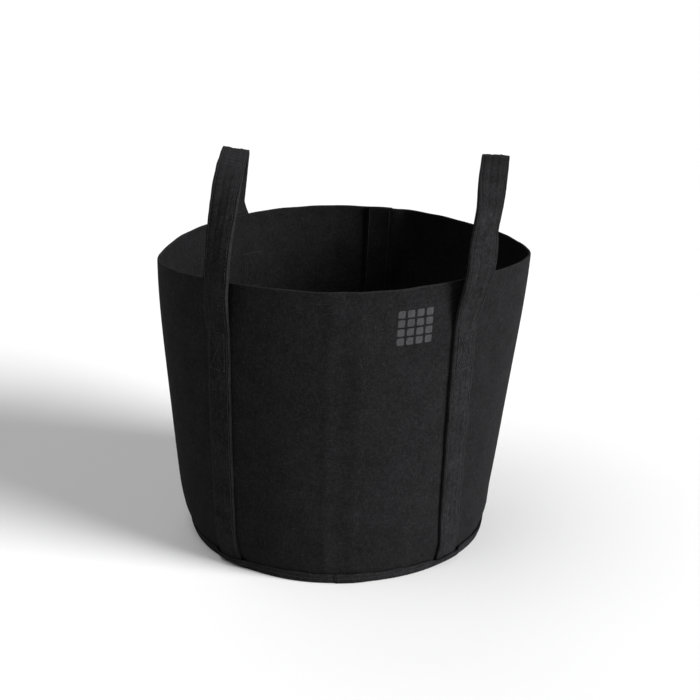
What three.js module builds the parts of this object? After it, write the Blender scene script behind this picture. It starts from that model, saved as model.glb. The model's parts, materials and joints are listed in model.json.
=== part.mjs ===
// A felt grow bag: a round fabric planter with a sewn-in base disc and two strap handles.
//
// Frame: millimetres, +Z up, origin at the centre of the underside of the base.
// -Y is the front, +X is the right, and the handles stand over the left and right of the mouth.
// Angles are in degrees, anticlockwise from +X as seen from above, so the front is at -90.
//
// Every sewn piece starts as a flat blank, as it is cut from the roll, and is then bent into place.
// In a blank, x runs across it, y runs up or along it, and z points out of its outer face.

import * as THREE from 'three';
import { mergeVertices } from 'three/addons/utils/BufferGeometryUtils.js';

// Driving dimensions of the bag
const HEIGHT = 320;
const TOP_RADIUS = 200; // outer face of the wall at the rim
const BASE_RADIUS = 171; // outer face of the wall at the floor
const FELT = 3; // thickness of the wall and base felt
const GAP = 0.3; // clearance between pieces that touch
const SIDES = 96; // facets of the round base

// Base disc, whose edge is turned up round the outside of the wall
const LIP_HEIGHT = 11;
const LIP_CORNER = 2;

// Back lap seam: the outer end of the wall sheet covers the inner end
const SEAM_OUTER_END = 71;
const SEAM_INNER_END = 79.3;
const SEAM_STEP = 6; // the inner end steps in behind the outer one over this angle
const WALL_FACETS = 116;

// Handle straps, of felt folded double
const STRAP_WIDTH = 30;
const STRAP_THICKNESS = 4;
const FOOT_HEIGHT = 13; // a leg ends here, just above the lip
const BOX_BOTTOM = 230; // the boxed cross of stitches that ends the sewn part of a strap
const BOX_TOP = 270;
const BOX_WIDTH = 22;
const ROOT_HEIGHT = 336; // where the handle turns, clear of the rim
const TURNING_RADIUS = STRAP_WIDTH / 2; // the rounded end of a loop about its hinge line
const LEG_POINT = 24; // slope of a leg's pointed top, so that a loop can hang past level

// Each leg is sewn straight up the sheet, at this distance round the wall from the middle of the
// front or the back, counted anticlockwise.
const FRONT = -90;
const BACK = 90;
const HANDLES = {
  left: {
    frontOffset: -129,
    backOffset: 117,
    frontRoot: [-116, -175],
    backRoot: [-127, 175],
    peak: [-111.5, 0, 420],
    peakRoll: 12, // the top of the loop tips towards +X
  },
  right: {
    frontOffset: 129,
    backOffset: -186,
    frontRoot: [137, -173],
    backRoot: [177, 124],
    peak: [165, -24, 419],
    peakRoll: 2,
  },
};

// Shape of the free strap: how far each end of a curved stretch holds its direction
const LEAVE_PULL = 22;
const LEAVE_LEAN = 14; // the strap leaves the wall at this angle from vertical
const ROOT_PULL_BELOW = 22;
const ROOT_PULL_ABOVE = 50;
const ROOT_LEAN = 6; // at the root it leans this far towards the middle of the loop
const PEAK_PULL = 0.38; // as a share of half the loop's span

// Stitching
const THREAD_WIDTH = 1;
const THREAD_THICKNESS = 0.8;
const ROW_INSET = 1.8; // edge rows, in from the edge of the strap
const ROW_END = 3; // a row stops this short of the end of its strap or sheet
const LIP_ROW_HEIGHT = 6;
const SEAM_ROW_INSET = 2; // back seam rows, in from the ends of the lap

const black = (color, roughness) => new THREE.MeshStandardMaterial({ color, roughness, metalness: 0 });
const wallFelt = black(0x1b1b1d, 0.97);
const baseFelt = black(0x1d1d1f, 0.97);
const strapFelt = black(0x242427, 0.94);
const thread = black(0x2e2e31, 0.7);

const bag = new THREE.Group();

function addPiece(name, geometry, material) {
  const mesh = new THREE.Mesh(geometry, material);
  mesh.name = name;
  bag.add(mesh);
}

// ---------------------------------------------------------------- bending blanks

const { degToRad, radToDeg, lerp, smoothstep } = THREE.MathUtils;

function wallRadius(height) {
  return BASE_RADIUS + ((TOP_RADIUS - BASE_RADIUS) * height) / HEIGHT;
}

function polar(angle, radius, height) {
  const turn = degToRad(angle);
  return new THREE.Vector3(radius * Math.cos(turn), radius * Math.sin(turn), height);
}

// Moves every corner of a flat blank to place(x, y, z), and keeps the blank one closed body.
function bend(blank, place) {
  blank.deleteAttribute('normal');
  blank.deleteAttribute('uv');
  const bent = mergeVertices(blank);
  bent.clearGroups();
  const corners = bent.attributes.position;
  for (let i = 0; i < corners.count; i += 1) {
    const { x, y, z } = place(corners.getX(i), corners.getY(i), corners.getZ(i));
    corners.setXYZ(i, x, y, z);
  }
  bent.computeVertexNormals();
  return bent;
}

// A flat sheet centred on x = 0, from y = bottom to y = top, with its inner face at z = inner.
function sheet({ width, bottom, top, inner, thickness, across = 1, along = 1 }) {
  const blank = new THREE.BoxGeometry(width, top - bottom, thickness, across, along, 1);
  return blank.translate(0, (top + bottom) / 2, inner + thickness / 2);
}

// ---------------------------------------------------------------- wall and base

// The wall is one sheet, rolled into a cone and lapped at the back.
function wallPanel() {
  const lapStart = SEAM_OUTER_END + 360;
  const turn = SEAM_INNER_END + 360 - SEAM_OUTER_END;
  const blank = sheet({
    width: 1, bottom: FELT + GAP, top: HEIGHT, inner: -FELT, thickness: FELT, across: WALL_FACETS,
  });
  return bend(blank, (x, y, z) => {
    const angle = SEAM_OUTER_END + (x + 0.5) * turn;
    const stepIn = (FELT + GAP) * smoothstep(angle, lapStart - SEAM_STEP, lapStart - 1);
    return polar(angle, wallRadius(y) + z - stepIn, y);
  });
}

// An outline in radius and height, turned about the vertical axis.
function turned(outline) {
  const points = outline.map(([radius, height]) => new THREE.Vector2(radius, height));
  return new THREE.LatheGeometry(points, SIDES).rotateX(Math.PI / 2);
}

const lipInside = (height) => wallRadius(height) + GAP;
const lipOutside = (height) => lipInside(height) + FELT;

function baseDisc() {
  return turned([
    [0, 0],
    [lipOutside(0) - LIP_CORNER, 0],
    [lipOutside(LIP_CORNER), LIP_CORNER],
    [lipOutside(LIP_HEIGHT), LIP_HEIGHT],
    [lipInside(LIP_HEIGHT), LIP_HEIGHT],
    [lipInside(FELT), FELT],
    [0, FELT],
  ]);
}

// ---------------------------------------------------------------- handle straps

// The line where a leg is sewn up the wall, through the middle of the strap's thickness.
class SewnLine extends THREE.Curve {
  constructor(middle, offset) {
    super();
    this.angleAt = (height) => middle + radToDeg(offset / wallRadius(height));
  }

  getPoint(share) {
    const height = lerp(FOOT_HEIGHT, BOX_TOP, share);
    return polar(this.angleAt(height), wallRadius(height) + GAP + STRAP_THICKNESS / 2, height);
  }
}

class Reversed extends THREE.Curve {
  constructor(curve) {
    super();
    this.curve = curve;
  }

  getPoint(share) {
    return this.curve.getPoint(1 - share);
  }
}

// One strap runs from its front foot up the wall, over the loop and down to its back foot.
// The result places a point of the flat strap, and gives the distances along it of its landmarks.
function strapRoute({ frontOffset, backOffset, frontRoot, backRoot, peak, peakRoll }) {
  const front = new THREE.Vector3(...frontRoot, ROOT_HEIGHT);
  const back = new THREE.Vector3(...backRoot, ROOT_HEIGHT);
  const top = new THREE.Vector3(...peak);
  const hinge = back.clone().sub(front).normalize();
  const peakPull = (PEAK_PULL * front.distanceTo(back)) / 2;
  const frontLine = new SewnLine(FRONT, frontOffset);
  const backLine = new SewnLine(BACK, backOffset);
  const tilted = (flat, lean) => flat.multiplyScalar(Math.sin(degToRad(lean))).setZ(Math.cos(degToRad(lean)));
  const from = (start, direction, distance) => start.clone().addScaledVector(direction, distance);

  // The three stretches of one half: sewn to the wall, up to the root, and up to the peak.
  const half = (line, root, inward) => {
    const boxTop = line.getPoint(1);
    const leaving = tilted(polar(line.angleAt(BOX_TOP), 1, 0), LEAVE_LEAN);
    const rising = tilted(inward.clone(), ROOT_LEAN);
    const below = from(root, rising, -ROOT_PULL_BELOW);
    const above = from(root, rising, ROOT_PULL_ABOVE);
    return [
      line,
      new THREE.CubicBezierCurve3(boxTop, from(boxTop, leaving, LEAVE_PULL), below, root),
      new THREE.CubicBezierCurve3(root, above, from(top, inward, -peakPull), top),
    ];
  };
  const path = new THREE.CurvePath();
  path.curves.push(...half(frontLine, front, hinge));
  const falling = half(backLine, back, hinge.clone().negate());
  path.curves.push(...falling.reverse().map((curve) => new Reversed(curve)));
  const [frontBox, frontHinge, middle, backHinge, backBox, total] = path.getCurveLengths();

  // The strap's width turns from the wall's own direction to square with the hinge line.
  const frontAcross = (height) => polar(frontLine.angleAt(Math.min(height, BOX_TOP)) + 90, 1, 0);
  const backAcross = (height) => polar(backLine.angleAt(Math.min(height, BOX_TOP)) - 90, 1, 0);
  const level = new THREE.Vector3(hinge.y, -hinge.x, 0);
  const rolled = level.clone().applyAxisAngle(hinge, degToRad(peakRoll));
  const place = (x, y, z) => {
    const share = THREE.MathUtils.clamp(y / total, 0, 1);
    const centre = path.getPoint(share);
    const forward = path.getTangent(share);
    const across = frontAcross(centre.z)
      .lerp(level, smoothstep(y, frontBox, frontHinge))
      .lerp(rolled, smoothstep(y, frontHinge, middle))
      .lerp(level, smoothstep(y, middle, backHinge))
      .lerp(backAcross(centre.z), smoothstep(y, backHinge, backBox));
    across.addScaledVector(forward, -across.dot(forward)).normalize();
    const out = across.clone().cross(forward);
    return centre.addScaledVector(across, x).addScaledVector(out, z - STRAP_THICKNESS / 2);
  };
  return { place, frontBox, frontHinge, backHinge, backBox, total };
}

// Distances from start to end in equal steps.
function stations(start, end, steps) {
  return Array.from({ length: steps + 1 }, (_, i) => start + ((end - start) * i) / steps);
}

// A band of the flat strap that has a row of corners at each of the given distances along it.
// narrow(distance) is the share of its width that the band keeps there.
function strapBand(place, distances, { centre = 0, width, inner, thickness, narrow = () => 1 }) {
  const steps = distances.length - 1;
  const blank = sheet({ width, bottom: 0, top: steps, inner, thickness, along: steps });
  return bend(blank, (x, y, z) => {
    const distance = distances[Math.round(y)];
    return place(centre + x * narrow(distance), distance, z);
  });
}

const SEWN_STEPS = 5;
const RISER_STEPS = 6;
const LOOP_STEPS = 40;
const END_STEPS = 4;
const END_REACH = 0.985; // a loop's rounded end stops just short of a point

const STRAP = { width: STRAP_WIDTH, inner: 0, thickness: STRAP_THICKNESS };
const THREAD = { width: THREAD_WIDTH, inner: STRAP_THICKNESS + GAP, thickness: THREAD_THICKNESS };
const EDGE_ROWS = { left: ROW_INSET - STRAP_WIDTH / 2, right: STRAP_WIDTH / 2 - ROW_INSET };

// One leg: the part sewn to the wall and the free riser, which ends in a blunt point under the loop.
const POINT_TOP = TURNING_RADIUS / Math.cos(degToRad(LEG_POINT)) + GAP;
const POINT_BOTTOM = POINT_TOP + TURNING_RADIUS * Math.tan(degToRad(LEG_POINT));

function legStations(route, end) {
  const { frontBox, frontHinge, backHinge, backBox, total } = route;
  return end === 'front'
    ? [
      ...stations(0, frontBox, SEWN_STEPS),
      ...stations(frontBox, frontHinge - POINT_BOTTOM, RISER_STEPS).slice(1),
      frontHinge - POINT_TOP - GAP,
    ]
    : [
      backHinge + POINT_TOP + GAP,
      ...stations(backHinge + POINT_BOTTOM, backBox, RISER_STEPS),
      ...stations(backBox, total, SEWN_STEPS).slice(1),
    ];
}

function pointedTop(route) {
  return (distance) => {
    const below = distance < route.frontHinge ? route.frontHinge - distance : distance - route.backHinge;
    return Math.min(1, (below - POINT_TOP) / (POINT_BOTTOM - POINT_TOP));
  };
}

// Both ends of the loop are round about the hinge line, so that it turns clear of the legs.
function loopStations(route) {
  const reach = stations(0, Math.asin(END_REACH), END_STEPS).map((turn) => TURNING_RADIUS * Math.sin(turn));
  const roundEnd = reach.slice(1);
  return [
    ...roundEnd.map((distance) => route.frontHinge - distance).reverse(),
    ...stations(route.frontHinge, route.backHinge, LOOP_STEPS),
    ...roundEnd.map((distance) => route.backHinge + distance),
  ];
}

function roundedEnds(route) {
  return (distance) => {
    const beyond = Math.max(route.frontHinge - distance, distance - route.backHinge, 0);
    return Math.sqrt(1 - (beyond / TURNING_RADIUS) ** 2);
  };
}

function shortened(distances) {
  const row = [...distances];
  row[0] += ROW_END;
  row[row.length - 1] -= ROW_END;
  return row;
}

// ---------------------------------------------------------------- stitching

// A rectangle of thread with both of its diagonals, drawn flat with its lower edge at y = 0.
function crossedBox(width, height) {
  const half = THREAD_WIDTH / 2;
  const right = width / 2;
  const top = height / 2;
  const slant = Math.hypot(right, top);
  const outline = [[-right - half, -top - half], [right + half, -top - half],
    [right + half, top + half], [-right - half, top + half]];
  const nearX = (half * slant) / top;
  const nearY = (half * slant) / right;
  const sideY = ((right - half) * top) / right - nearY;
  const endX = ((top - half) * right) / top - nearX;
  const windows = [];
  for (const sign of [-1, 1]) {
    windows.push([[sign * nearX, 0], [sign * (right - half), -sideY], [sign * (right - half), sideY]]);
    windows.push([[0, sign * nearY], [-endX, sign * (top - half)], [endX, sign * (top - half)]]);
  }
  const corners = (points) => points.map(([x, y]) => new THREE.Vector2(x, y + top));
  const shape = new THREE.Shape(corners(outline));
  shape.holes = windows.map((window) => new THREE.Path(corners(window)));
  return new THREE.ExtrudeGeometry(shape, { depth: THREAD_THICKNESS, bevelEnabled: false, steps: 1 });
}

// The boxed cross of one leg, on the outer face of the sewn strap.
function boxStitch(route, end) {
  const length = BOX_TOP - BOX_BOTTOM;
  const inset = THREAD_WIDTH;
  const start = end === 'front' ? route.frontBox - length - inset : route.backBox + inset;
  const box = crossedBox(BOX_WIDTH, length);
  return bend(box, (x, y, z) => route.place(x, start + y, THREAD.inner + z));
}

function baseSeamThread() {
  const inner = (height) => lipOutside(height) + GAP;
  const low = LIP_ROW_HEIGHT - THREAD_WIDTH / 2;
  const high = LIP_ROW_HEIGHT + THREAD_WIDTH / 2;
  return turned([
    [inner(low), low],
    [inner(low) + THREAD_THICKNESS, low],
    [inner(high) + THREAD_THICKNESS, high],
    [inner(high), high],
    [inner(low), low],
  ]);
}

// A row of thread up the outside of the wall.
function wallRow(angle) {
  const blank = sheet({
    width: THREAD_WIDTH,
    bottom: LIP_HEIGHT + ROW_END,
    top: HEIGHT - ROW_END,
    inner: GAP,
    thickness: THREAD_THICKNESS,
  });
  const across = polar(angle + 90, 1, 0);
  return bend(blank, (x, y, z) => polar(angle, wallRadius(y) + z, y).addScaledVector(across, x));
}

// ---------------------------------------------------------------- assembly

addPiece('wall_panel', wallPanel(), wallFelt);
addPiece('base_disc', baseDisc(), baseFelt);
addPiece('base_seam_thread', baseSeamThread(), thread);
addPiece('back_seam_thread_outer', wallRow(SEAM_OUTER_END + SEAM_ROW_INSET), thread);
addPiece('back_seam_thread_inner', wallRow(SEAM_INNER_END - SEAM_ROW_INSET), thread);

for (const [side, handle] of Object.entries(HANDLES)) {
  const route = strapRoute(handle);
  const loop = loopStations(route);
  addPiece(
    `${side}_handle_loop`,
    strapBand(route.place, loop, { ...STRAP, narrow: roundedEnds(route) }),
    strapFelt,
  );
  const loopRow = loop.slice(END_STEPS, -END_STEPS);
  for (const [edge, centre] of Object.entries(EDGE_ROWS)) {
    addPiece(
      `${side}_handle_edge_thread_${edge}`,
      strapBand(route.place, loopRow, { ...THREAD, centre }),
      thread,
    );
  }
  for (const end of ['front', 'back']) {
    const leg = legStations(route, end);
    addPiece(
      `${side}_${end}_leg`,
      strapBand(route.place, leg, { ...STRAP, narrow: pointedTop(route) }),
      strapFelt,
    );
    const legRow = end === 'front' ? leg.slice(0, -1) : leg.slice(1);
    addPiece(`${side}_${end}_box_stitch`, boxStitch(route, end), thread);
    for (const [edge, centre] of Object.entries(EDGE_ROWS)) {
      addPiece(
        `${side}_${end}_leg_edge_thread_${edge}`,
        strapBand(route.place, shortened(legRow), { ...THREAD, centre }),
        thread,
      );
    }
  }
}

export default bag;
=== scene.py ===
"""The looks of a felt grow bag: a lapped wall, a base with a turned-up lip, and two strap handles.

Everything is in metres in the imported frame: +Z up, -Y the front, the origin under the base.
Angles are in radians, anticlockwise from +X as seen from above, so the front is at -pi/2.
A sewn piece is made flat first, where x runs across it, y runs along it and z points out of its
outer face, and is then laid on the wall or on a strap.
"""

import json
import math

import bpy
import numpy as np
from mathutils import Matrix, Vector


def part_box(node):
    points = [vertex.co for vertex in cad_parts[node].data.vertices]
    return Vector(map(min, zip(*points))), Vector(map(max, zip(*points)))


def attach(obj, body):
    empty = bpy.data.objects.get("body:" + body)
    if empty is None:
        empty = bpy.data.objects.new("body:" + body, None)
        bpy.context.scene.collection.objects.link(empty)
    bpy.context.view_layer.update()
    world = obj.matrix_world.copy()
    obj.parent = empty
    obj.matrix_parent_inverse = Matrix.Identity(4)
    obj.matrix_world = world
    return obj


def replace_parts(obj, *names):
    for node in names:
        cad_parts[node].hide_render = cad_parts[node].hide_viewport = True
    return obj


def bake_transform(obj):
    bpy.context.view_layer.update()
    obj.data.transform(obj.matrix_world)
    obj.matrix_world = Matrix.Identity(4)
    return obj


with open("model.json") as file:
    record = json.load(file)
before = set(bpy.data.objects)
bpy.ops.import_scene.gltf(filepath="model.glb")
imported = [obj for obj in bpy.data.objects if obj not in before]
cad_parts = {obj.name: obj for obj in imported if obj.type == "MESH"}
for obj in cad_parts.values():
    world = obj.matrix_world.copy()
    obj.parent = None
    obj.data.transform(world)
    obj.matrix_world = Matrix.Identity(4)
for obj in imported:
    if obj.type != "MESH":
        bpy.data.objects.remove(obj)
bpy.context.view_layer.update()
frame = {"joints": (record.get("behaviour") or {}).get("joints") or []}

# ---------------------------------------------------------------- sizes

MM = 0.001
FRONT = -math.pi / 2
BACK = math.pi / 2
UP = np.array([0, 0, 1.0])
RANDOM = np.random.default_rng(7)

# The bag, from the largest corners of two boxes in the frame. The radii are of the wall's outer
# face, without its swelling.
FELT = 3 * MM
GAP = 0.3 * MM
wall_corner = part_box("wall_panel")[1]
base_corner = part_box("base_disc")[1]
HEIGHT = wall_corner.z
TOP_RADIUS = wall_corner.x
LIP_HEIGHT = base_corner.z
LIP_SHARE = LIP_HEIGHT / HEIGHT
BASE_RADIUS = (base_corner.x - FELT - GAP - TOP_RADIUS * LIP_SHARE) / (1 - LIP_SHARE)

# How the soft wall stands
BULGE = 3.8 * MM  # the wall swells this far beyond a straight cone
LEAN = 11 * MM  # the mouth stands this far to the right of the base
# The rim is wavy and out of round: (waves in one turn, cosine mm, sine mm)
RIM_RISE = ((1, 2.3, 0.0), (2, -3.9, -1.2), (3, 1.7, -2.3), (4, -1.4, 0.0))
RIM_SPREAD = ((3, 0.0, -2.8), (4, 1.0, -1.4))
RIM_HUMPS = (  # (angle, how far the rim rises there, half width)
    (math.radians(155), 3.3 * MM, math.radians(22)),
    (math.radians(62), 1.2 * MM, math.radians(15)),
    (math.radians(22), 2 * MM, math.radians(14)),
)
LUMPS = 0.5 * MM
FOOT_TUCK = 4.2 * MM  # the base seam draws the foot of the wall in by this much at the sides
FRONT_TUCK = 0.1  # and by this share of it at the front and back
TUCK_TOP = 32 * MM
FOOT_SHIFT = 3.5 * MM  # the foot also stands this much to the right of the wall above it
SHIFT_TOP = 60 * MM

# The lap seam at the back, where the outer end of the wall sheet covers the inner end
SEAM_OUTER_END = math.radians(72.3)
SEAM_INNER_END = math.radians(80.8)
SEAM_STEP = math.radians(6)  # the inner end steps in over this turn
SEAM_TUCKED = math.radians(1)  # and is fully in this much before the outer end
SEAM_ROW_INSET = 2.16 * MM

# The straps, of felt folded double
STRAP_WIDTH = 29 * MM
STRAP_THICKNESS = 4.8 * MM
STRAP_STEP = 1.2 * MM
SEWN_SQUEEZE = 0.22  # the share of its thickness that a strap loses where it is sewn down
SEWN_FADE = 45 * MM  # above the box stitch it comes back to its full thickness over this length
FOOT_HEIGHT = 4.5 * MM  # tucked in under the lip
BOX_BOTTOM = 230 * MM
BOX_TOP = 270 * MM
BOX_WIDTH = 19 * MM
BOX_INSET = 1 * MM
FOOT_DRIFT = 4 * MM
DRIFT_START = 20 * MM
KICK_TOP = 35 * MM
ROOT_HEIGHT = frame["joints"][0]["pos_m"][2]  # the height of the hinges

# A leg's offset is how far its middle lies from the middle of the front or back, anticlockwise
# along the wall. A root is where the strap crosses its hinge. The kick moves the front foot along
# the wall, and leave_ahead turns a leg towards its root (or away from it) as it leaves the wall.
# The slant and the pull shape the loop just above its roots, and the twists turn the strap there.
HANDLES = {
    "left": {
        "front_offset": -129 * MM,
        "back_offset": 117 * MM,
        "front_root": (-116.3 * MM, -175 * MM),
        "back_root": (-127 * MM, 175 * MM),
        "peak": (-111.5 * MM, 0.0, 416.8 * MM),
        "peak_roll": math.radians(20),
        "foot_kick": 2 * MM,
        "leave_ahead": -0.2,
        "root_slant": math.radians(6.6),
        "root_pull": 74 * MM,
        "root_twist": math.radians(-36),
        "upper_twist": math.radians(-29),
    },
    "right": {
        "front_offset": 129 * MM,
        "back_offset": -186 * MM,
        "front_root": (136.7 * MM, -173 * MM),
        "back_root": (177 * MM, 124 * MM),
        "peak": (165 * MM, -24 * MM, 419 * MM),
        "peak_roll": math.radians(2),
        "foot_kick": -5 * MM,
        "leave_ahead": -0.8,
        "root_slant": math.radians(5.7),
        "root_pull": 29 * MM,
        "root_twist": math.radians(32),
        "upper_twist": math.radians(58),
    },
}
LEAVE_PULL = 15.5 * MM
LEAVE_LEAN = math.radians(14)
ROOT_PULL_BELOW = 10 * MM
ROOT_LEAN = math.radians(6)
PEAK_PULL = 0.38  # as a share of half the distance between the roots
TWIST_START = 10 * MM  # the upper twist sets in from here
TWIST_END = 55 * MM  # to here above the hinge
SEWN_STEPS = 220
CURVE_STEPS = 160

# Stitching
STITCH = 3.5 * MM
STITCH_SLIP = 0.12 * MM  # how far a stitch strays from its line
STITCH_GAP = 0.06  # the share of its length that a stitch leaves free at each end
THREAD_RADIUS = 0.38 * MM
THREAD_STEPS = 7
THREAD_SIDES = 6
ROW_X = STRAP_WIDTH / 2 - 2.4 * MM  # the edge rows run this far from the middle of a strap

# ---------------------------------------------------------------- small helpers


def unit(vectors):
    return vectors / np.linalg.norm(vectors, axis=-1, keepdims=True)


def outward(angle):
    """The level direction from the middle of the bag towards an angle."""
    return np.array([math.cos(angle), math.sin(angle), 0])


def smooth(value, start, end):
    """0 up to start and 1 from end, with a smooth step between them."""
    share = np.clip((value - start) / (end - start), 0, 1)
    return share * share * (3 - 2 * share)


def hump(distance, half_width, shoulder):
    """1 within half_width of 0, falling smoothly to 0 over a shoulder."""
    return 1 - smooth(np.abs(distance), half_width, half_width + shoulder)


def turn_between(angle, middle):
    """The angle measured from middle, between -pi and pi."""
    return (np.asarray(angle) - middle + math.pi) % (2 * math.pi) - math.pi


def waves(angle, parts):
    """A sum of waves round the bag. Each part is (waves in one turn, cosine mm, sine mm)."""
    return MM * sum(c * np.cos(n * angle) + s * np.sin(n * angle) for n, c, s in parts)


DRIFT_WAVES = 5


def drifting(length, amount):
    """A smooth wandering function of distance, made of a few waves with random phases."""
    pace = RANDOM.uniform(0.6, 1.6, DRIFT_WAVES) * 2 * math.pi / length
    phase = RANDOM.uniform(0, 2 * math.pi, DRIFT_WAVES)

    def wander(y):
        return amount / math.sqrt(DRIFT_WAVES) * sum(np.sin(y * p + q) for p, q in zip(pace, phase))

    return wander


# ---------------------------------------------------------------- the shape of the wall


def wall_radius(height):
    """The radius of the wall's outer face, before anything makes it uneven."""
    share = height / HEIGHT
    return BASE_RADIUS + (TOP_RADIUS - BASE_RADIUS) * share + BULGE * (1 - (2 * share - 1) ** 4)


LUMP_WAVES = [
    (n, m, RANDOM.uniform(0, 2 * math.pi), RANDOM.uniform(0.4, 1.0) / (1 + 0.25 * n))
    for n in (2, 3, 5, 7, 9, 13)
    for m in (0.7, 1.9)
]


def lumps(angle, share):
    """Slight unevenness, as in felt that has been folded flat for storage."""
    total = sum(a * np.sin(n * angle + m * math.pi * share + q) for n, m, q, a in LUMP_WAVES)
    return LUMPS * total


# Soft upright creases: (angle, how far out the crease stands, its half width)
CREASES = (
    (math.radians(-93.6), 0.5 * MM, math.radians(1.3)),
    (math.radians(-89.3), -0.55 * MM, math.radians(2.6)),
    (math.radians(-84.6), 0.4 * MM, math.radians(1.5)),
    (math.radians(92), 0.5 * MM, math.radians(2.0)),
)


def ridges(angle, parts):
    """A sum of soft ridges. Each part is (angle, height, half width)."""
    return sum(rise * np.exp(-((turn_between(angle, at) / half) ** 2)) for at, rise, half in parts)


def creases(angle, share):
    """The creases, which fade out towards the foot."""
    return ridges(angle, CREASES) * smooth(share, -0.05, 0.12)


def surface(angle, height, out):
    """Points on the wall's outer face, moved straight out by the given distance.

    The height is the one that the point would have if the rim were level.
    """
    share = height / HEIGHT
    toward_rim = np.clip(share, 0, 1) ** 2
    radius = wall_radius(height) + out + waves(angle, RIM_SPREAD) * toward_rim
    radius = radius + lumps(angle, share) + creases(angle, share)
    tuck = FOOT_TUCK * (FRONT_TUCK + (1 - FRONT_TUCK) * np.cos(angle) ** 2)
    radius = radius - tuck * (1 - smooth(height, 0, TUCK_TOP))
    shift = FOOT_SHIFT * (1 - smooth(height, 0, SHIFT_TOP))
    x = radius * np.cos(angle) + LEAN * (share - 0.5) + shift
    y = radius * np.sin(angle)
    z = height + (waves(angle, RIM_RISE) + ridges(angle, RIM_HUMPS)) * toward_rim
    return np.stack(np.broadcast_arrays(x, y, z), -1)


# ---------------------------------------------------------------- meshes


def grid_faces(columns, rows, closed_columns=False, closed_rows=False):
    """Faces of a grid of corners stored column by column, facing along column x row."""
    a = np.arange(columns if closed_columns else columns - 1)
    b = np.arange(rows if closed_rows else rows - 1)
    a, b = (v.ravel() for v in np.meshgrid(a, b, indexing="ij"))
    next_a = (a + 1) % columns
    next_b = (b + 1) % rows
    return np.stack([a * rows + b, next_a * rows + b, next_a * rows + next_b, a * rows + next_b], 1)


def add_piece(name, parts, material):
    """Joins parts, each (corners, faces), into one smooth-shaded object."""
    corners = []
    faces = []
    for points, part_faces in parts:
        start = sum(len(c) for c in corners)
        corners.append(np.asarray(points).reshape(-1, 3))
        faces.extend([start + int(i) for i in face] for face in part_faces)
    mesh = bpy.data.meshes.new(name)
    mesh.from_pydata(np.concatenate(corners).tolist(), [], faces)
    mesh.shade_smooth()
    mesh.materials.append(material)
    piece = bpy.data.objects.new(name, mesh)
    bpy.context.scene.collection.objects.link(piece)
    return piece


# ---------------------------------------------------------------- materials


class Shader:
    """A node tree that is built by naming nodes and wiring them as they are made."""

    def __init__(self, name):
        self.material = bpy.data.materials.new(name)
        self.material.use_nodes = True
        self.tree = self.material.node_tree
        self.surface = self.tree.nodes["Principled BSDF"]
        self.place = self.add("ShaderNodeTexCoord").outputs["Object"]

    def add(self, kind, inputs=(), **settings):
        node = self.tree.nodes.new(kind)
        for key, value in settings.items():
            setattr(node, key, value)
        for key, value in dict(inputs).items():
            self.wire(value, node.inputs[key])
        return node

    def wire(self, value, socket):
        if isinstance(value, bpy.types.NodeSocket):
            self.tree.links.new(value, socket)
        else:
            socket.default_value = value

    def noise(self, scale, detail, roughness, stretch=None):
        place = self.place
        if stretch:
            turn, factors = stretch
            inputs = {"Vector": place, "Rotation": turn, "Scale": factors}
            place = self.add("ShaderNodeMapping", inputs).outputs["Vector"]
        inputs = {"Vector": place, "Scale": scale, "Detail": detail, "Roughness": roughness}
        return self.add("ShaderNodeTexNoise", inputs).outputs["Fac"]

    def math(self, operation, *values):
        made = self.add("ShaderNodeMath", dict(enumerate(values)), operation=operation)
        return made.outputs[0]

    def ramp(self, value, low, high, to_low=0.0, to_high=1.0):
        inputs = {"Value": value, "From Min": low, "From Max": high}
        inputs.update({"To Min": to_low, "To Max": to_high})
        return self.add("ShaderNodeMapRange", inputs).outputs["Result"]

    def mix(self, share, first, second):
        made = self.add("ShaderNodeMix", data_type="RGBA")
        self.wire(share, made.inputs["Factor"])
        self.wire(first, made.inputs["A"])
        self.wire(second, made.inputs["B"])
        return made.outputs["Result"]

    def bump(self, height, distance, strength, normal=None):
        inputs = {"Height": height, "Distance": distance, "Strength": strength}
        if normal:
            inputs["Normal"] = normal
        return self.add("ShaderNodeBump", inputs).outputs["Normal"]

    def set(self, **sockets):
        """Fills sockets of the surface shader. An underscore stands for a space in a name."""
        for key, value in sockets.items():
            self.wire(value, self.surface.inputs[key.replace("_", " ")])


# Every grey is tinted slightly blue. This is painted light colour that stands in for the bluish key
# light, while the lamps themselves stay white.
PAINTED_LIGHT_BLUE_TINT = 1.06


def grey(level):
    return (level, level, level * PAINTED_LIGHT_BLUE_TINT, 1.0)


# How fine the patterns are: the scales of their noise, in waves per metre
CLOUD_SCALE = 38.0
PATCH_SCALE = 260.0
FIBRE_SCALE = 900.0
TWIST_SCALE = 1800.0

# Fibre directions of a needle-punched felt: long thin noise, turned several ways
FIBRES = (
    ((0.0, 0.4, 0.3), (1.0, 1.0, 0.22)),
    ((0.9, 0.0, 0.8), (1.0, 0.22, 1.0)),
    ((0.3, 1.1, 2.0), (0.22, 1.0, 1.0)),
)


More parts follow.
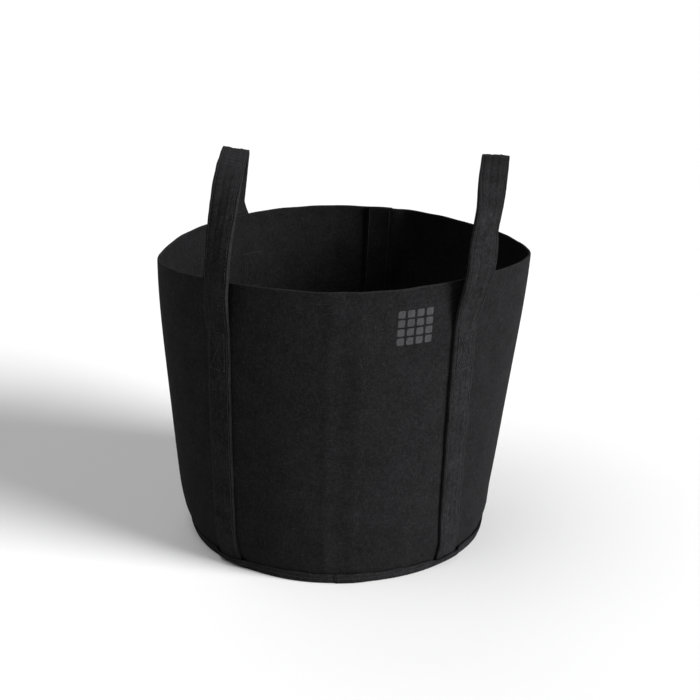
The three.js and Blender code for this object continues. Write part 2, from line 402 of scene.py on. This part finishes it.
def felt(name, level, fibre_scale=FIBRE_SCALE, fuzz=0.35 * MM, mottle=0.27):
    """Heathered black felt: a mat of fine fibres, slightly cloudy, with paler fibres showing."""
    shader = Shader(name)
    strands = [shader.noise(fibre_scale, 2.0, 0.6, stretch) for stretch in FIBRES]
    mat = shader.math("MAXIMUM", shader.math("MAXIMUM", strands[0], strands[1]), strands[2])
    cloud = shader.noise(CLOUD_SCALE, 4.0, 0.6)
    patch = shader.noise(PATCH_SCALE, 3.0, 0.6)
    pale = shader.ramp(mat, 0.52, 0.82)
    large = shader.math("MULTIPLY", cloud, 0.45)
    small = shader.math("MULTIPLY", patch, 0.55)
    cloudy = shader.math("ADD", large, small)
    tone = shader.ramp(cloudy, 0.35, 0.65, 1 - mottle, 1 + mottle)
    body = shader.mix(pale, grey(level * 0.78), grey(level * 1.9))
    toned = shader.add("ShaderNodeVectorMath", operation="SCALE")
    shader.wire(body, toned.inputs[0])
    shader.wire(tone, toned.inputs["Scale"])
    coarse = shader.bump(patch, 0.5 * MM, 0.5)
    fine = shader.bump(mat, fuzz, 0.8, coarse)
    shader.set(
        Base_Color=toned.outputs["Vector"],
        Roughness=shader.ramp(mat, 0.3, 0.8, 0.98, 0.86),
        Normal=fine,
        Specular_IOR_Level=0.03,
        Sheen_Weight=0.008,
        Sheen_Roughness=0.45,
        Sheen_Tint=(0.9, 0.92, 1.0, 1.0),
    )
    return shader.material


def thread_material():
    """Twisted polyester sewing thread, a little glossier than the felt."""
    shader = Shader("sewing_thread")
    twist = shader.noise(TWIST_SCALE, 2.0, 0.5, ((0.5, 0.7, 0.0), (1.0, 1.0, 0.3)))
    shader.set(
        Base_Color=shader.mix(twist, grey(0.014), grey(0.027)),
        Roughness=shader.ramp(twist, 0.3, 0.7, 0.45, 0.7),
        Normal=shader.bump(twist, 0.12 * MM, 0.7),
        Specular_IOR_Level=0.1,
    )
    return shader.material


def ink_material():
    """Matt dark grey ink that lies on the felt and lets its fibres show."""
    shader = Shader("screen_ink")
    strands = shader.noise(FIBRE_SCALE, 2.0, 0.6, FIBRES[0])
    worn = shader.noise(PATCH_SCALE, 4.0, 0.65)
    cover = shader.ramp(shader.math("MULTIPLY", strands, worn), 0.12, 0.3)
    shader.set(
        Base_Color=shader.mix(cover, grey(0.019), grey(0.033)),
        Roughness=0.8,
        Normal=shader.bump(strands, 0.2 * MM, 0.6),
        Specular_IOR_Level=0.25,
    )
    return shader.material


wall_felt = felt("wall_felt_black", 0.0092)
# The cut edges get a paler felt: partly their own paler cut fibres, partly painted sheen where the
# light catches them.
edge_felt_and_sheen = felt("cut_edge_felt_and_painted_sheen", 0.0135, fibre_scale=1200.0, fuzz=0.6 * MM)
base_felt = felt("base_felt_black", 0.0118, mottle=0.4)
strap_felt = felt("strap_felt_black", 0.0115, fibre_scale=800.0, mottle=0.4)
thread = thread_material()
ink = ink_material()

# ---------------------------------------------------------------- wall

WALL_COLUMNS = 480
WALL_ROWS = 96
EDGE_CORNER = 0.9 * MM
CORNER_BEND = 0.3 * EDGE_CORNER
TRIM_UNEVEN = 0.35 * MM  # the top edge is trimmed this unevenly


def sheet_section(bottom, top, rows):
    """Half of the outline of an upright felt sheet: (heights, insets from its outer face)."""
    heights = [bottom, bottom + CORNER_BEND, bottom + EDGE_CORNER]
    insets = [EDGE_CORNER, CORNER_BEND, 0]
    for height in np.linspace(bottom + EDGE_CORNER, top - EDGE_CORNER, rows)[1:]:
        heights.append(height)
        insets.append(0)
    heights += [top - CORNER_BEND, top]
    insets += [CORNER_BEND, EDGE_CORNER]
    return np.array(heights), np.array(insets)


def both_faces(half):
    """The whole outline, up the outer face and down the inner one."""
    heights, insets = half
    depths = np.concatenate([insets, (FELT - insets)[::-1]])
    return np.concatenate([heights, heights[::-1]]), depths


def capped(columns, rows):
    """Faces of a closed section swept along columns, with a cap on each end."""
    sides = grid_faces(columns, rows, closed_rows=True)
    i = np.arange(rows // 2 - 1)
    first = np.stack([i, i + 1, rows - 2 - i, rows - 1 - i], 1)
    last = first[:, ::-1] + (columns - 1) * rows
    return np.concatenate([sides, first, last])


def show_edge_felt_and_sheen(piece, at_edge):
    """Gives the paler edge felt to the faces whose corners all lie on rows where at_edge is true. Its
    paleness is partly the cut fibres and partly painted sheen where the edges catch the light.
    """
    piece.data.materials.append(edge_felt_and_sheen)
    for polygon in piece.data.polygons:
        if all(at_edge[v % len(at_edge)] for v in polygon.vertices):
            polygon.material_index = 1


def wall_panel():
    """The wall, from its outer end once round and in under the lap to its inner end."""
    start = SEAM_OUTER_END
    end = SEAM_INNER_END + 2 * math.pi
    lap = SEAM_OUTER_END + 2 * math.pi
    angle = np.linspace(start, end, WALL_COLUMNS)[:, None]
    heights, insets = both_faces(sheet_section(FELT + GAP, HEIGHT, WALL_ROWS))
    step_in = (FELT + GAP) * smooth(angle, lap - SEAM_STEP, lap - SEAM_TUCKED)
    uneven = TRIM_UNEVEN * np.sin(angle * 23) * np.sin(angle * 7 + 1)
    trimmed = heights + uneven * (heights / HEIGHT) ** 6
    points = surface(angle, trimmed, -insets - step_in)
    parts = [(points, capped(WALL_COLUMNS, len(heights)))]
    piece = add_piece("felt_wall", parts, wall_felt)
    just_below_corner = HEIGHT - EDGE_CORNER * 1.01
    show_edge_felt_and_sheen(piece, heights > just_below_corner)
    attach(piece, "bag")
    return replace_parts(piece, "wall_panel")


wall = wall_panel()

# ---------------------------------------------------------------- handle straps


def bezier(a, b, c, d):
    """A cubic curve from a to d that heads for b and arrives from c."""
    t = np.linspace(0, 1, CURVE_STEPS)[:, None]
    return (1 - t) ** 3 * a + 3 * (1 - t) ** 2 * t * b + 3 * (1 - t) * t * t * c + t**3 * d


def foot_drift(height, kick):
    """How far a front leg runs askew towards its foot, anticlockwise, with a kick at the end."""
    drift = FOOT_DRIFT * (1 - smooth(height, DRIFT_START, BOX_BOTTOM))
    return drift + kick * (1 - smooth(height, 0, KICK_TOP))


class Strap:
    """One strap from its front foot up the wall, over the loop and down to its back foot."""

    def __init__(
        self,
        front_offset,
        back_offset,
        front_root,
        back_root,
        peak,
        peak_roll,
        foot_kick,
        leave_ahead,
        root_slant,
        root_pull,
        root_twist,
        upper_twist,
    ):
        front = np.array([*front_root, ROOT_HEIGHT])
        back = np.array([*back_root, ROOT_HEIGHT])
        top = np.array(peak)
        hinge = unit(back - front)
        pull = PEAK_PULL * np.linalg.norm(back - front) / 2
        slant = np.array([hinge[1], -hinge[0], 0]) * math.sin(root_slant)
        self.front_offset = front_offset
        self.back_offset = back_offset
        self.foot_kick = foot_kick
        bends = (pull, slant, leave_ahead, root_pull)
        rising = self.half(self.front_angle, front, hinge, top, *bends)
        falling = self.half(self.back_angle, back, -hinge, top, *bends)
        falling = [part[::-1] for part in falling[::-1]]
        stretches = rising + falling
        marks = np.cumsum([0] + [self.length(part) for part in stretches])
        _, self.front_box, self.front_hinge, middle, self.back_hinge, self.back_box, self.total = marks
        points = np.concatenate([stretches[0]] + [part[1:] for part in stretches[1:]])
        along = np.concatenate([[0], np.cumsum(np.linalg.norm(np.diff(points, axis=0), axis=1))])
        self.y = np.linspace(0, self.total, int(self.total / STRAP_STEP))
        self.centre = self.follow(along, points, self.y)
        self.forward = unit(np.gradient(self.centre, self.y, axis=0))
        self.across = self.widths(hinge, middle, peak_roll, root_twist, upper_twist)
        self.out = np.cross(self.across, self.forward)

    def front_angle(self, height):
        """Where on the wall the middle of the front leg lies at a height."""
        offset = self.front_offset + foot_drift(height, self.foot_kick)
        return FRONT + offset / wall_radius(height)

    def back_angle(self, height):
        return BACK + self.back_offset / wall_radius(height)

    @staticmethod
    def length(points):
        return np.linalg.norm(np.diff(points, axis=0), axis=1).sum()

    @staticmethod
    def follow(along, values, y):
        return np.stack([np.interp(y, along, values[:, k]) for k in range(3)], -1)

    @staticmethod
    def half(angle_at, root, inward, top, pull, slant, leave_ahead, root_pull):
        """The stretches of one half: sewn to the wall, up to the root, and up to the peak."""
        heights = np.linspace(FOOT_HEIGHT, BOX_TOP, SEWN_STEPS)
        sewn = surface(angle_at(heights), heights, STRAP_THICKNESS / 2)
        box_top = sewn[-1]
        leaving = outward(angle_at(BOX_TOP)) * math.sin(LEAVE_LEAN) + UP * math.cos(LEAVE_LEAN)
        leaving = unit(leaving + leave_ahead * unit(root - box_top))
        rising = unit(inward * math.sin(ROOT_LEAN) + slant + UP * math.cos(ROOT_LEAN))
        riser = bezier(box_top, box_top + LEAVE_PULL * leaving, root - ROOT_PULL_BELOW * rising, root)
        arch = bezier(root, root + root_pull * rising, top - inward * pull, top)
        return [sewn, riser, arch]

    def widths(self, hinge, middle, peak_roll, root_twist, upper_twist):
        """The direction of the strap's width at each step along it."""
        level = np.array([hinge[1], -hinge[0], 0])
        rolled = level * math.cos(peak_roll) - UP * math.sin(peak_roll)

        def twisted(angle):
            return level * math.cos(angle) + hinge * math.sin(angle)

        height = np.minimum(self.centre[:, 2], BOX_TOP)
        front = self.front_angle(height)
        back = self.back_angle(height)
        flat = np.zeros_like(front)
        across = np.stack([-np.sin(front), np.cos(front), flat], -1)
        last = np.stack([np.sin(back), -np.cos(back), flat], -1)
        for start, end, target in (
            (self.front_box, self.front_hinge, twisted(root_twist)),
            (self.front_hinge + TWIST_START, self.front_hinge + TWIST_END, twisted(upper_twist)),
            (self.front_hinge + TWIST_END, middle, rolled),
            (middle, self.back_hinge - TWIST_END, twisted(-upper_twist)),
            (self.back_hinge - TWIST_END, self.back_hinge - TWIST_START, twisted(-root_twist)),
            (self.back_hinge, self.back_box, last),
        ):
            share = smooth(self.y, start, end)[:, None]
            across = across * (1 - share) + target * share
        across -= (across * self.forward).sum(-1, keepdims=True) * self.forward
        return unit(across)

    def sewn(self, y):
        """1 where the strap lies on the wall, fading to 0 above each box stitch."""
        past_front = smooth(y, self.front_box, self.front_box + SEWN_FADE)
        past_back = smooth(y, self.back_box - SEWN_FADE, self.back_box)
        return 1 - past_front * (1 - past_back)

    def place(self, x, y, z):
        """Lays points of the flat strap in place. z = 0 is the face towards the wall."""
        x, y, z = (v.ravel() for v in np.broadcast_arrays(x, y, z))
        sewn = self.sewn(y)
        curl = sewn * x * x / (2 * TOP_RADIUS)
        z = z * (1 - SEWN_SQUEEZE * sewn)
        lines = (self.centre, self.across, self.out)
        centre, across, out = (self.follow(self.y, line, y) for line in lines)
        return centre + across * x[:, None] + out * (z - STRAP_THICKNESS / 2 - curl)[:, None]

    def on_wall(self, end, x, y, out):
        """Points on the wall behind the sewn part. y is the distance along the strap."""
        centre = self.follow(self.y, self.centre, np.asarray(y))
        height = centre[:, 2]
        angle_at, side = (self.front_angle, 1) if end == "front" else (self.back_angle, -1)
        return surface(angle_at(height) + side * x / wall_radius(height), height, out)


# The outline of a strap, seen along its length
FACE_COLUMNS = 33
FACE_INSET = 1.3 * MM  # the flat faces end this far in from the edges
CROWN = 0.35 * MM
RIBS = (  # (place across the strap, height, half width, shoulder)
    (5.5 * MM, 0.45 * MM, 0.6 * MM, 1.2 * MM),
    (-4 * MM, -0.45 * MM, 0.5 * MM, 2 * MM),
)
GROOVE_WIDTH = 0.8 * MM  # each row of stitches lies in a groove
OUTER_GROOVE = 0.55 * MM
INNER_GROOVE = 0.3 * MM
# Its edges, as (mm beyond the edge, share of the thickness). The cut edge runs down from the
# outer face and shows the two layers with a notch between them. The folded edge runs back up.
CUT_EDGE = (
    (-0.35, 0.94),
    (-0.05, 0.78),
    (-0.1, 0.6),
    (-0.8, 0.5),
    (-0.1, 0.4),
    (0, 0.22),
    (-0.35, 0.06),
)
FOLDED_EDGE = ((-0.4, 0.06), (-0.1, 0.2), (0, 0.5), (-0.1, 0.8), (-0.4, 0.94))
EDGE_WIDTH = 0.9 * MM  # the paler felt of the cut edges, with its painted sheen, shows this far in

# How a strap varies along its length. Each wave is (length, amount).
WANDER = (70 * MM, 0.25 * MM)
PUFFS = ((23 * MM, 0.05), (60 * MM, 0.05))
PINCH = 0.1  # a row of stitches presses the strap thinner by this share on average
PINCH_WIDTH = 1.1 * MM
WAVER = 0.008  # the share by which the stitches make the edges wavy


def strap_section():
    """The outline of the folded strap: (across, up from the face towards the wall)."""
    half = STRAP_WIDTH / 2
    flat = half - FACE_INSET
    face = np.linspace(-flat, flat, FACE_COLUMNS)
    groove = sum(np.exp(-(((face - x) / GROOVE_WIDTH) ** 2)) for x in (-ROW_X, ROW_X))
    ribs = sum(rise * hump(face - at, wide, shoulder) for at, rise, wide, shoulder in RIBS)
    crown = CROWN * (1 - (face / flat) ** 2)
    outer = STRAP_THICKNESS - OUTER_GROOVE * groove + ribs + crown
    inner = INNER_GROOVE * groove[::-1]
    cut = np.array(CUT_EDGE) * [MM, STRAP_THICKNESS]
    fold = np.array(FOLDED_EDGE) * [MM, STRAP_THICKNESS]
    x = np.concatenate([face, half + cut[:, 0], face[::-1], -half - fold[:, 0]])
    z = np.concatenate([outer, cut[:, 1], inner, fold[:, 1]])
    return x[::-1], z[::-1]


def strap_piece(side, strap):
    """The outline swept along the strap, slightly uneven, and closed at both feet."""
    x, z = strap_section()
    y = strap.y[:, None]
    wander = drifting(*WANDER)(y)
    puff = 1 + sum(drifting(*wave)(y) for wave in PUFFS)
    beat = np.cos(2 * math.pi * y / STITCH)
    in_row = np.exp(-(((np.abs(x) - ROW_X) / PINCH_WIDTH) ** 2))
    pinch = 1 - PINCH * in_row * (1 + beat)
    breadth = 1 + WAVER * beat
    points = strap.place(x * breadth + wander, y, z * puff * pinch)
    rows = len(x)
    columns = len(y)
    caps = [list(range(rows))[::-1], [(columns - 1) * rows + i for i in range(rows)]]
    faces = grid_faces(columns, rows, closed_rows=True).tolist() + caps
    piece = add_piece(f"{side}_strap", [(points, faces)], strap_felt)
    show_edge_felt_and_sheen(piece, np.abs(x) > STRAP_WIDTH / 2 - EDGE_WIDTH)
    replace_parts(piece, f"{side}_front_leg", f"{side}_handle_loop", f"{side}_back_leg")
    return piece


def bend_at_hinge(piece):
    """Bakes the piece's placement into its mesh. Nothing here splits it at the hinge or lets it swing
    with the handle.
    """
    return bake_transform(piece)


straps = {side: Strap(**handle) for side, handle in HANDLES.items()}
for strap_side, strap in straps.items():
    bend_at_hinge(strap_piece(strap_side, strap))

# ---------------------------------------------------------------- base

BASE_COLUMNS = 480
BASE_MIDDLE = 0.02  # the share of the radius where the base's innermost ring lies
FLOOR_UNEVEN = 1.4 * MM
FOOT_SHOULDER = 12 * MM
FOOT_BARE = 0.5 * MM  # up to here the base takes no notice of the feet of the straps
FOOT_COVERED = 5 * MM  # and from here up the lip passes over them

# The lip: its wavy top, its rounded lower corner and its cut top edge
LIP_WAVES = ((2, 0.6 * MM, 0.4), (9, 0.5 * MM, 0.0), (31, 0.4 * MM, 1.0))  # (count, height, phase)
LIP_CORNER = 1.6 * MM
LIP_EDGE = (  # (inset from the outer face, drop below the top)
    (0.25 * MM, 0.3 * MM),
    (0.9 * MM, 0),
    (FELT - 0.7 * MM, 0),
    (FELT - 0.1 * MM, 0.5 * MM),
)
LIP_SHOWS = math.radians(-62)  # it has its full thickness around here
LIP_SHOWS_HALF = math.radians(34)
LIP_FADE = math.radians(22)
LIP_PRESSED = 0.3  # and this share of it elsewhere

# Where the lip's end laps over its start
LIP_LAP = math.radians(-90.5)
LAP_EDGE = 0.6 * MM
LAP_FLAT = 20 * MM
LAP_END = 40 * MM
LAP_RISE = 1.2 * MM
LAP_STEP = 1.3 * MM


def foot_bulge(angle, height):
    """The lip stands out where it passes over the foot of a strap."""
    total = 0
    for strap in straps.values():
        for foot in (strap.front_angle(0.0), strap.back_angle(0.0)):
            distance = turn_between(angle, foot) * BASE_RADIUS
            total = total + hump(distance, STRAP_WIDTH / 2, FOOT_SHOULDER)
    reach = STRAP_THICKNESS * (1 - SEWN_SQUEEZE) + GAP
    return reach * total * smooth(height, FOOT_BARE, FOOT_COVERED)


def lip_lap(angle):
    """1 where the lip laps over itself, fading out to the right of that."""
    distance = turn_between(angle, LIP_LAP) * BASE_RADIUS
    return smooth(distance, -LAP_EDGE, LAP_EDGE) * (1 - smooth(distance, LAP_FLAT, LAP_END))


def lip_thickness(angle):
    """The lip is pressed thin all round but at the front, to the right of its lap."""
    shown = hump(turn_between(angle, LIP_SHOWS), LIP_SHOWS_HALF, LIP_FADE)
    return FELT * (LIP_PRESSED + (1 - LIP_PRESSED) * shown)


def base_profile(top):
    """Rows of the base, from the middle of its underside, over the lip, to the middle inside.

    Each row is (share of the radius, inset from the lip's outer face, height). The rows of the
    floor inside the bag have no height here.
    """
    under = [(share, 0.0, 0.0) for share in (BASE_MIDDLE, 0.3, 0.6, 0.85, 0.985)]
    turn = [
        (1.0, LIP_CORNER * (1 - math.sin(t)), LIP_CORNER * (1 - math.cos(t)))
        for t in np.linspace(0.1, 1.5, 6)
    ]
    upright = np.linspace(0, 1, 9)[1:-1]
    outside = [(1.0, 0.0, LIP_CORNER + (top - LIP_CORNER) * t) for t in upright]
    edge = [(1.0, inset, top - drop) for inset, drop in LIP_EDGE]
    inside = [(1.0, FELT, FELT + (top - FELT) * t) for t in upright[::-1]]
    floor_rows = [(share, FELT, None) for share in np.linspace(0.99, BASE_MIDDLE, 40)]
    return under + turn + outside + edge + inside + floor_rows


def floor_height(angle, share):
    """The uneven upper face of the base, inside the bag."""
    uneven = np.sin(3 * angle + 7 * share) + np.sin(5 * angle - 9 * share + 2)
    return FELT + FLOOR_UNEVEN * uneven * share * (1 - share)


def base_disc():
    """The base: one disc whose edge is turned up round the outside of the wall."""
    angle = np.linspace(0, 2 * math.pi, BASE_COLUMNS, endpoint=False)[:, None]
    top = LIP_HEIGHT + LAP_RISE * lip_lap(angle)
    top = top + sum(rise * np.sin(n * angle + phase) for n, rise, phase in LIP_WAVES)
    middle = np.array([-LEAN / 2, 0, 0])
    rings = []
    for share, inset, height in base_profile(top):
        if height is None:
            height = floor_height(angle, share)
        height = np.broadcast_to(height, angle.shape)
        above_corner = height.max() > LIP_CORNER
        if above_corner:
            inset = inset / FELT * lip_thickness(angle)
        out = GAP + lip_thickness(angle) - inset + foot_bulge(angle, height)
        out = out + LAP_STEP * lip_lap(angle) * (height > 0)
        rim = surface(angle, height, out)[:, 0]
        rings.append(middle + (rim - middle) * [share, share, 1])
    points = np.stack(rings, 1)
    count = len(rings)
    faces = grid_faces(BASE_COLUMNS, count, closed_columns=True).tolist()
    faces.append([c * count for c in range(BASE_COLUMNS)][::-1])
    faces.append([c * count + count - 1 for c in range(BASE_COLUMNS)])
    piece = add_piece("felt_base", [(points, faces)], base_felt)
    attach(piece, "bag")
    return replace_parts(piece, "base_disc")


base = base_disc()

# ---------------------------------------------------------------- stitching

# Heights of the thread above the faces it lies on
OUTER_ROW = STRAP_THICKNESS - 0.35 * MM  # in its groove
UNDER_ROW = 0.1 * MM
BOX_ROW = STRAP_THICKNESS + 0.55 * MM  # over the ribs
LAP_ROW = 0.05 * MM

ROW_END = 8 * MM  # the edge rows stop this far from the ends of a strap
BASE_ROW_HEIGHT = 0.55 * LIP_HEIGHT


def stitch_points(starts, ends):
    """Flat corners of stitches from starts to ends: arrays (x, y, z) of thread tubes.

    A stitch is thinner at its ends, and dips into the felt there.
    """
    starts = np.asarray(starts)[:, None, None, :]
    ends = np.asarray(ends)[:, None, None, :]
    along = np.linspace(0, 1, THREAD_STEPS)[None, :, None]
    turn = np.linspace(0, 2 * math.pi, THREAD_SIDES, endpoint=False)[None, None, :]
    direction = ends - starts
    length = np.linalg.norm(direction, axis=-1, keepdims=True)
    forward = direction / length
    side_x = -forward[..., 1]
    side_y = forward[..., 0]
    line = starts + direction * along[..., None]
    arch = np.sin(math.pi * along)
    thick = THREAD_RADIUS * (0.75 + 0.25 * arch)
    width = thick * np.cos(turn)
    x = line[..., 0] + side_x * width
    y = line[..., 1] + side_y * width
    lift = THREAD_RADIUS * (1.35 * arch - 0.6)
    z = np.broadcast_to(lift + thick * np.sin(turn), x.shape)
    return x, y, z


def stitch_faces(count):
    """Faces of that many thread tubes, each closed by two faces at either end."""
    sides = grid_faces(THREAD_STEPS, THREAD_SIDES, closed_rows=True)
    first = np.array([[0, 1, 2, 3], [0, 3, 4, 5]])
    last = first[:, ::-1] + (THREAD_STEPS - 1) * THREAD_SIDES
    one = np.concatenate([sides, first, last])
    return np.concatenate([one + THREAD_STEPS * THREAD_SIDES * i for i in range(count)])


def thread_line(corners, lay):
    """Stitches along a line through flat corners. lay(x, y, z) puts them on their surface."""
    starts = []
    ends = []
    for a, b in zip(corners[:-1], corners[1:]):
        a = np.array(a, float)
        way = np.array(b, float) - a
        count = max(1, round(np.linalg.norm(way) / STITCH))
        for i in range(count):
            slip = RANDOM.normal(0, STITCH_SLIP, 2)
            starts.append(a + way * (i + STITCH_GAP) / count + slip)
            ends.append(a + way * (i + 1 - STITCH_GAP) / count + slip / 2)
    x, y, z = stitch_points(starts, ends)
    points = lay(x.ravel(), y.ravel(), z.ravel())
    return points, stitch_faces(len(starts))


def strap_rows(side, strap, edge, x):
    """A row of stitches along one edge of a strap, seen on both sides of it."""
    start = (x, ROW_END)
    leaves = (x, strap.front_box)
    returns = (x, strap.back_box)
    end = (x, strap.total - ROW_END)
    outer = thread_line([start, end], lambda x, y, z: strap.place(x, y, OUTER_ROW + z))
    under = thread_line([leaves, returns], lambda x, y, z: strap.place(x, y, UNDER_ROW - z))
    front = thread_line([start, leaves], lambda x, y, z: strap.on_wall("front", x, y, -FELT - z))
    back = thread_line([returns, end], lambda x, y, z: strap.on_wall("back", x, y, -FELT - z))
    piece = add_piece(f"{side}_strap_row_{edge}", [outer, under, front, back], thread)
    nodes = [f"{side}_{part}_edge_thread_{edge}" for part in ("front_leg", "handle", "back_leg")]
    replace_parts(piece, *nodes)
    return bend_at_hinge(piece)


def box_stitch(side, strap, end):
    """A boxed cross that fixes the top of a leg, seen outside and inside the wall."""
    half = BOX_WIDTH / 2
    length = BOX_TOP - BOX_BOTTOM
    low = strap.back_box + BOX_INSET
    if end == "front":
        low = strap.front_box - length - BOX_INSET
    high = low + length
    corners = [(-half, low), (half, low), (half, high), (-half, high), (-half, low), (half, high)]
    lines = (corners, [(-half, high), (half, low)])

    def lay_outside(x, y, z):
        return strap.place(x, y, BOX_ROW + z)

    def lay_inside(x, y, z):
        return strap.on_wall(end, x, y, -FELT - z)

    outside = [thread_line(line, lay_outside) for line in lines]
    inside = [thread_line(line, lay_inside) for line in lines]
    piece = add_piece(f"{side}_{end}_boxed_cross", outside + inside, thread)
    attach(piece, "bag")
    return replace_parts(piece, f"{side}_{end}_box_stitch")


for strap_side, strap in straps.items():
    strap_rows(strap_side, strap, "left", -ROW_X)
    strap_rows(strap_side, strap, "right", ROW_X)
    for leg_end in ("front", "back"):
        box_stitch(strap_side, strap, leg_end)


def base_row():
    """The row that sews the lip to the wall."""
    radius = BASE_RADIUS + FELT
    around = 2 * math.pi * radius

    def lay(x, y, z):
        angle = y / radius
        height = BASE_ROW_HEIGHT + x
        out = GAP + lip_thickness(angle) + foot_bulge(angle, height) + LAP_STEP * lip_lap(angle)
        return surface(angle, height, out + z)

    piece = add_piece("base_seam_row", [thread_line([(0, 0), (0, around)], lay)], thread)
    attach(piece, "bag")
    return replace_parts(piece, "base_seam_thread")


def lap_row(name, angle, node):
    """A row of stitches up the back seam, seen outside and inside."""

    def lay_outside(x, y, z):
        return surface(angle + x / wall_radius(y), y, LAP_ROW + z)

    def lay_inside(x, y, z):
        return surface(angle + x / wall_radius(y), y, -2 * FELT - GAP - z)

    line = [(0, LIP_HEIGHT + 2 * MM), (0, HEIGHT - 2.5 * MM)]
    outside = thread_line(line, lay_outside)
    inside = thread_line(line, lay_inside)
    piece = add_piece(name, [outside, inside], thread)
    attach(piece, "bag")
    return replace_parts(piece, node)


base_row()
row_turn = SEAM_ROW_INSET / TOP_RADIUS
lap_row("lap_row_outer", SEAM_OUTER_END + row_turn, "back_seam_thread_outer")
lap_row("lap_row_inner", SEAM_INNER_END - row_turn, "back_seam_thread_inner")

# ---------------------------------------------------------------- printed patch

PATCH_ANGLE = math.radians(-69.2)
PATCH_TOP = HEIGHT - 19.5 * MM
PATCH_PITCH = 9.8 * MM
PATCH_ROW_PITCH = 0.93 * PATCH_PITCH
PATCH_SQUARE = 7.4 * MM
PATCH_COUNT = 4
SQUARE_STEPS = 9
SQUARE_ROUNDING = 0.16
INK_RISE = 0.12 * MM


def ink_square(left, bottom):
    """One printed square with round corners, as a thin skin on the wall."""
    steps = np.linspace(-1, 1, SQUARE_STEPS)
    a, b = np.meshgrid(steps, steps, indexing="ij")
    x = a * np.sqrt(1 - SQUARE_ROUNDING * b * b)
    y = b * np.sqrt(1 - SQUARE_ROUNDING * a * a)
    half = PATCH_SQUARE / 2
    height = bottom + half + y * half
    angle = PATCH_ANGLE + (left + half + x * half) / wall_radius(height)
    return surface(angle, height, INK_RISE), grid_faces(SQUARE_STEPS, SQUARE_STEPS)


def printed_patch():
    """A plain grid of squares where the wall carries a print."""
    squares = []
    for column in range(PATCH_COUNT):
        for row in range(PATCH_COUNT):
            left = (column - PATCH_COUNT / 2) * PATCH_PITCH + (PATCH_PITCH - PATCH_SQUARE) / 2
            squares.append(ink_square(left, PATCH_TOP - (row + 1) * PATCH_ROW_PITCH))
    piece = add_piece("printed_grid", squares, ink)
    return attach(piece, "bag")


printed_patch()

# ---------------------------------------------------------------- stage, light and camera

FLOOR_REACH = 30.0

# (name, degrees from the front to the right, degrees up, strength, spread in degrees)
LIGHTS = (
    ("key_light", 64, 20, 6.6, 30),
    ("fill_light", -70, 64, 0.95, 50),
    ("back_light", 200, 45, 0.5, 50),
)
FILL_BRIGHTNESS = 0.07
BACKDROP_BRIGHTNESS = 0.93

CAMERA_ELEVATION = math.radians(19.3)
CAMERA_DISTANCE = 1.4
CAMERA_LENS = 63.42  # in mm, as is the width of the sensor
CAMERA_SENSOR = 36
CAMERA_SHIFT = (0.017, 0.0484)


def stage_floor():
    """A wide, plain, pale floor under the bag."""
    mesh = bpy.data.meshes.new("studio_floor")
    corners = ((-1, -1), (1, -1), (1, 1), (-1, 1))
    points = [(x * FLOOR_REACH, y * FLOOR_REACH, 0) for x, y in corners]
    mesh.from_pydata(points, [], [(0, 1, 2, 3)])
    floor = bpy.data.objects.new("studio_floor", mesh)
    bpy.context.scene.collection.objects.link(floor)
    shader = Shader("pale_floor")
    shader.set(Base_Color=(0.9, 0.9, 0.9, 1), Roughness=0.9, Specular_IOR_Level=0.1)
    mesh.materials.append(shader.material)
    return floor


floor = stage_floor()


def soft_light(name, azimuth, elevation, strength, spread):
    """A far soft light that looks down at the bag."""
    light = bpy.data.lights.new(name, "SUN")
    light.energy = strength
    light.angle = math.radians(spread)
    light.color = (1.0, 1.0, 1.0)
    lamp = bpy.data.objects.new(name, light)
    bpy.context.scene.collection.objects.link(lamp)
    lamp.rotation_euler = (math.radians(90 - elevation), 0, math.radians(azimuth))


def studio_world():
    """A nearly white backdrop that gives only a little light itself."""
    world = bpy.data.worlds.new("studio")
    bpy.context.scene.world = world
    world.use_nodes = True
    nodes = world.node_tree.nodes
    links = world.node_tree.links
    background = nodes["Background"]
    background.inputs["Color"].default_value = (1, 1, 1, 1)
    seen = nodes.new("ShaderNodeLightPath").outputs["Is Camera Ray"]
    brightness = nodes.new("ShaderNodeMapRange")
    brightness.inputs["To Min"].default_value = FILL_BRIGHTNESS
    brightness.inputs["To Max"].default_value = BACKDROP_BRIGHTNESS
    links.new(seen, brightness.inputs["Value"])
    links.new(brightness.outputs["Result"], background.inputs["Strength"])


def studio_camera():
    """A camera in front of the bag that looks down at the middle of its height."""
    data = bpy.data.cameras.new("camera")
    data.sensor_width = CAMERA_SENSOR
    data.lens = CAMERA_LENS
    data.shift_x, data.shift_y = CAMERA_SHIFT
    camera = bpy.data.objects.new("camera", data)
    bpy.context.scene.collection.objects.link(camera)
    back = CAMERA_DISTANCE * math.cos(CAMERA_ELEVATION)
    up = CAMERA_DISTANCE * math.sin(CAMERA_ELEVATION)
    camera.location = (0, -back, HEIGHT / 2 + up)
    camera.rotation_euler = (math.pi / 2 - CAMERA_ELEVATION, 0, 0)
    bpy.context.scene.camera = camera


for light in LIGHTS:
    soft_light(*light)
studio_world()
studio_camera()
bpy.context.scene.view_settings.view_transform = "Standard"
